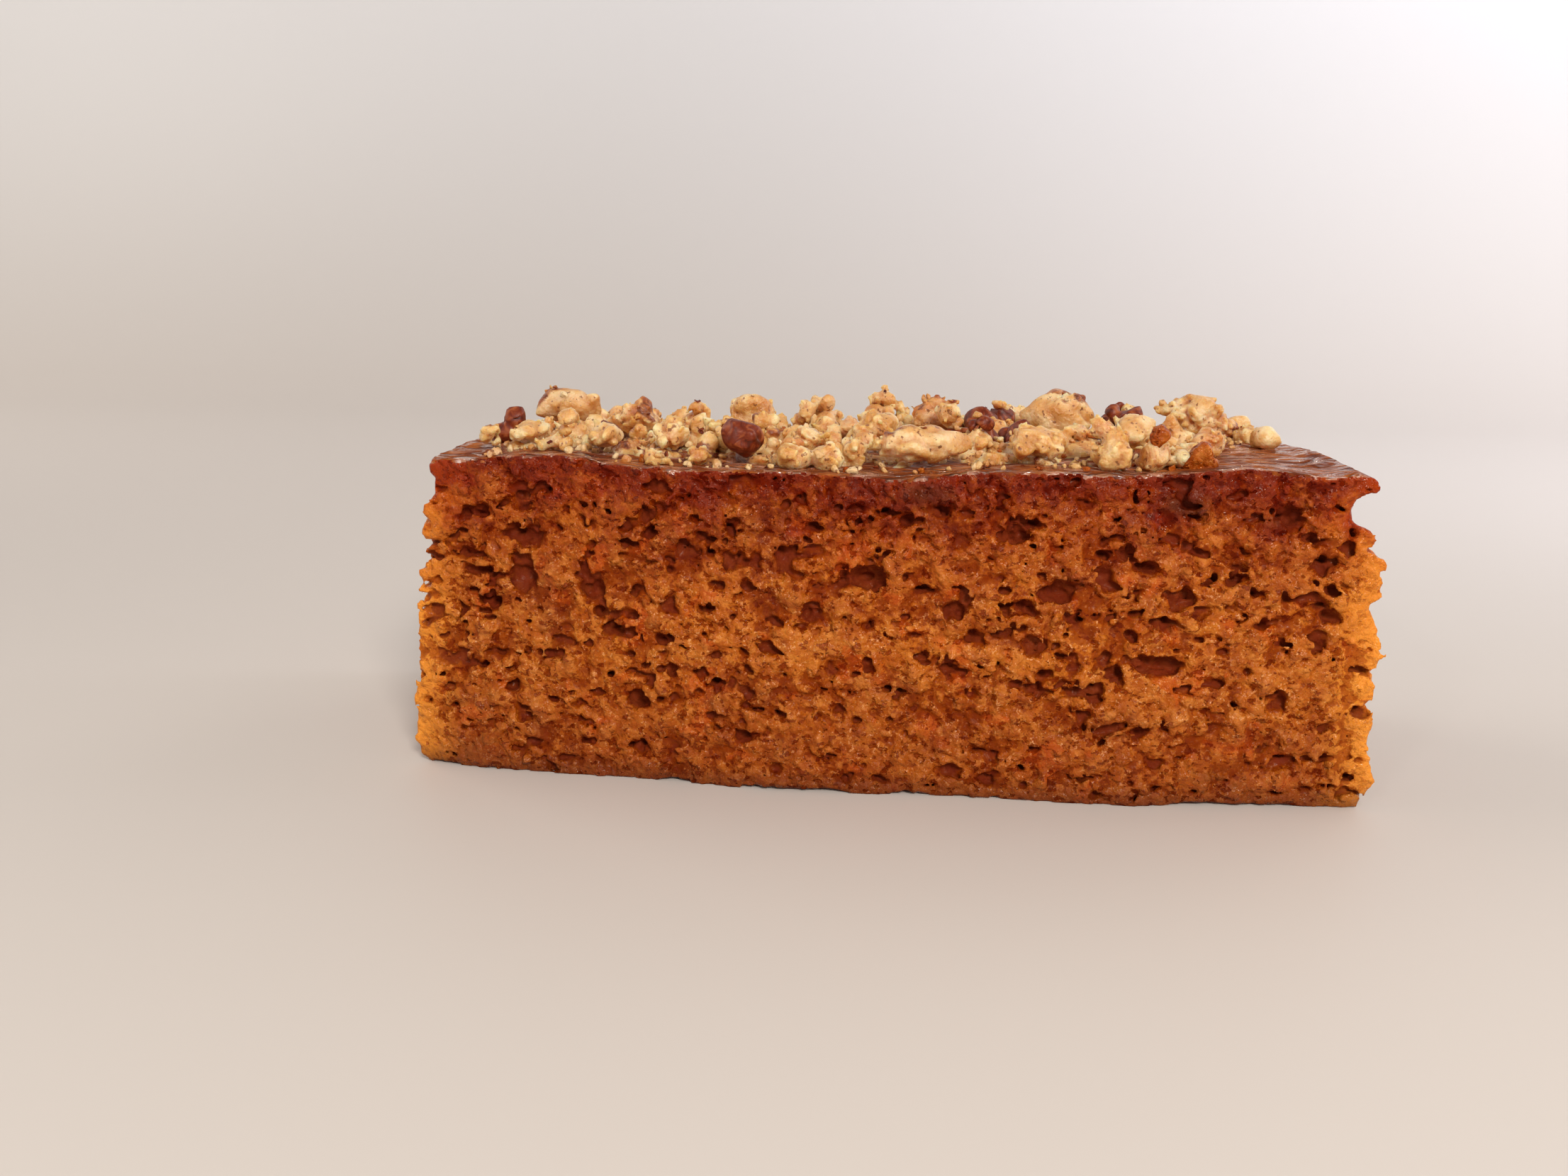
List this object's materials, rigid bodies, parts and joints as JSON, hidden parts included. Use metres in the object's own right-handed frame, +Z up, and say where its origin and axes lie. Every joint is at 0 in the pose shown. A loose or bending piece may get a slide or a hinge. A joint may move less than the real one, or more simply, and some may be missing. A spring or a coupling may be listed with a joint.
{
  "type": "vegan carrot cake slice",
  "caption": "Cut finger of moist carrot cake, open crumb on its cut sides, thin browned crust on top under a heap of chopped walnuts; rests on its flat underside.",
  "frame": {"origin": "on the underside, in the middle of the whole slice's box", "axes": "+X along the slice, -Y out of the cut face that the picture shows, +Z up"},
  "size_m": [0.1164, 0.0405, 0.0467],
  "materials": {
    "carrot_crumb": "moist open crumb, orange brown, with a darker glossy browned crust on top",
    "walnut_kernel": "pale broken kernel, satin and crumbly",
    "walnut_skin": "brown papery skin, satin"
  },
  "bodies": {
    "root": {"cake": "carrot_crumb", "walnut_01": "walnut_kernel", "walnut_02": "walnut_kernel", "walnut_03": "walnut_kernel", "walnut_04": "walnut_kernel", "walnut_05": "walnut_kernel", "walnut_06": "walnut_skin", "walnut_07": "walnut_kernel", "walnut_08": "walnut_kernel", "walnut_09": "walnut_kernel", "walnut_10": "walnut_kernel", "walnut_11": "walnut_kernel", "walnut_12": "walnut_kernel", "walnut_13": "walnut_kernel", "walnut_14": "walnut_kernel", "walnut_15": "walnut_kernel"}
  },
  "joints": []
}
